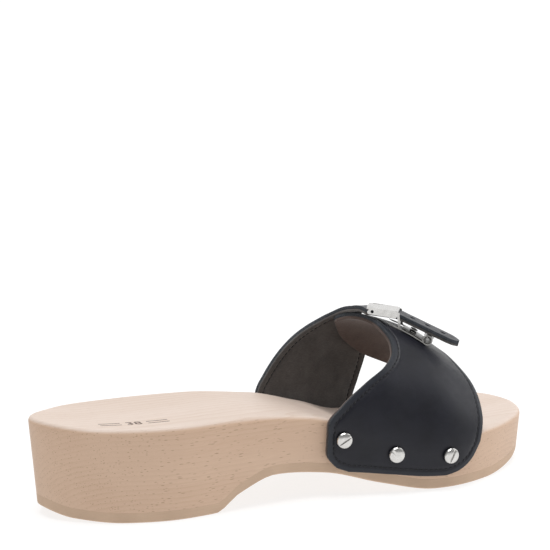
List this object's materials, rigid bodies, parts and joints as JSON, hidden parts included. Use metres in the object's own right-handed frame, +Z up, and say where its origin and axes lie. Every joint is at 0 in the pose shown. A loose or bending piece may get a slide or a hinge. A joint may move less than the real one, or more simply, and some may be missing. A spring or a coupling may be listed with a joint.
{
  "type": "wooden-soled sandal",
  "caption": "Right wooden clog: contoured beech footbed on a rubber outsole, two dark leather straps screwed to its sides and joined over the instep by a lever buckle.",
  "frame": {"origin": "on the ground, under the middle of the heel seat", "axes": "+Z up, the toe points along -Y, the outer (little toe) side is -X and the inner side is +X"},
  "size_m": [0.0981, 0.2496, 0.0781],
  "materials": {
    "beech": "fine-sanded, thin clear satin seal",
    "rubber": "matte, smooth, wood-coloured",
    "leather": "smooth, softly waxed, dark blue-black",
    "lining": "matte dark grey-brown lining leather with a suede side",
    "thread": "twisted polyester sewing thread",
    "nickel": "satin nickel plate"
  },
  "bodies": {
    "shoe": {"footbed": "beech", "outsole": "rubber", "outer_strap": "leather", "outer_strap_lining": "lining", "inner_strap": "leather", "inner_strap_lining": "lining", "outer_strap_thread": "thread", "inner_strap_thread": "thread", "outer_screw_rear": "nickel", "outer_screw_middle": "nickel", "outer_screw_front": "nickel", "inner_screw_rear": "nickel", "inner_screw_middle": "nickel", "inner_screw_front": "nickel", "buckle_base": "nickel", "buckle_pin": "nickel", "buckle_rivet_outer": "nickel", "buckle_rivet_washer_outer": "nickel", "buckle_rivet_inner": "nickel", "buckle_rivet_washer_inner": "nickel"},
    "lever": {"buckle_lever": "nickel"}
  },
  "joints": [
    {"name": "lever_hinge", "type": "hinge", "parent": "shoe", "child": "lever", "pos_m": [-0.01838, -0.13689, 0.06352], "axis": [0.788, -0.6157, 0], "range_deg": [0, 110]}
  ]
}
